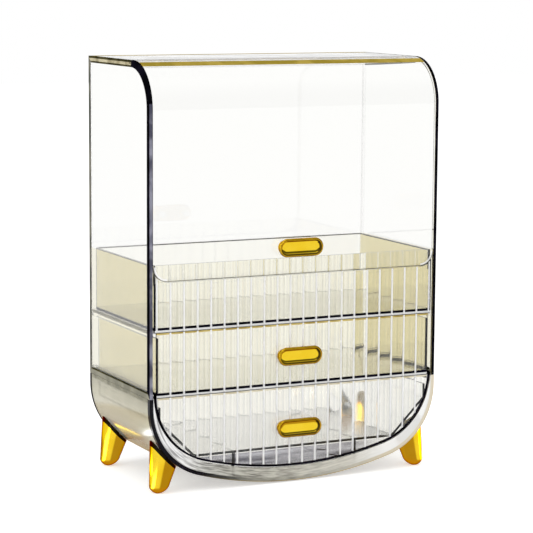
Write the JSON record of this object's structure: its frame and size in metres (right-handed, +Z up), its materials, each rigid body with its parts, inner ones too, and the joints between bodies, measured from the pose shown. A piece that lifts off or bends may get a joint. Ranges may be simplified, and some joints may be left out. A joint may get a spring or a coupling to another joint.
{
  "type": "makeup organizer",
  "caption": "Clear dustproof makeup organizer with a U-shaped base on gold feet, a curved flip lid over an open tray, and fluted drawers with gold pulls.",
  "frame": {"origin": "on the surface it stands on, under the middle of the whole object's box at rest", "axes": "+Z up, +X to the right as seen from the front, the drawers and the lid open towards -Y"},
  "size_m": [0.28, 0.1464, 0.371],
  "materials": {
    "clear_plastic": "clear, faint champagne tint, polished",
    "gold_plating": "gold electroplated plastic, mirror-bright",
    "steel": "plain"
  },
  "bodies": {
    "housing": {"base_shell": "clear_plastic", "left_side_panel": "clear_plastic", "right_side_panel": "clear_plastic", "back_panel": "clear_plastic", "top_panel": "clear_plastic", "drawer_deck": "clear_plastic", "tray_shelf": "clear_plastic", "upper_tray": "clear_plastic", "left_hinge_pin": "steel", "right_hinge_pin": "steel", "front_left_foot": "gold_plating", "front_right_foot": "gold_plating", "rear_left_foot": "gold_plating", "rear_right_foot": "gold_plating", "front_left_foot_screw": "steel", "front_right_foot_screw": "steel", "rear_left_foot_screw": "steel", "rear_right_foot_screw": "steel"},
    "lid": {"flip_lid": "clear_plastic", "lid_handle": "gold_plating", "lid_handle_screw_left": "steel", "lid_handle_screw_right": "steel"},
    "middle_drawer": {"middle_drawer": "clear_plastic", "middle_drawer_handle": "gold_plating", "middle_drawer_handle_screw_left": "steel", "middle_drawer_handle_screw_right": "steel"},
    "bottom_drawer": {"bottom_drawer": "clear_plastic", "bottom_drawer_handle": "gold_plating", "bottom_drawer_handle_screw_left": "steel", "bottom_drawer_handle_screw_right": "steel"}
  },
  "joints": [
    {"name": "lid_hinge", "type": "hinge", "parent": "housing", "child": "lid", "pos_m": [0, -0.02285, 0.3686], "axis": [-1, 0, 0], "range_deg": [0, 105]},
    {"name": "middle_drawer_slide", "type": "slide", "parent": "housing", "child": "middle_drawer", "axis": [0, -1, 0], "range_m": [0, 0.105]},
    {"name": "bottom_drawer_slide", "type": "slide", "parent": "housing", "child": "bottom_drawer", "axis": [0, -1, 0], "range_m": [0, 0.105]}
  ]
}
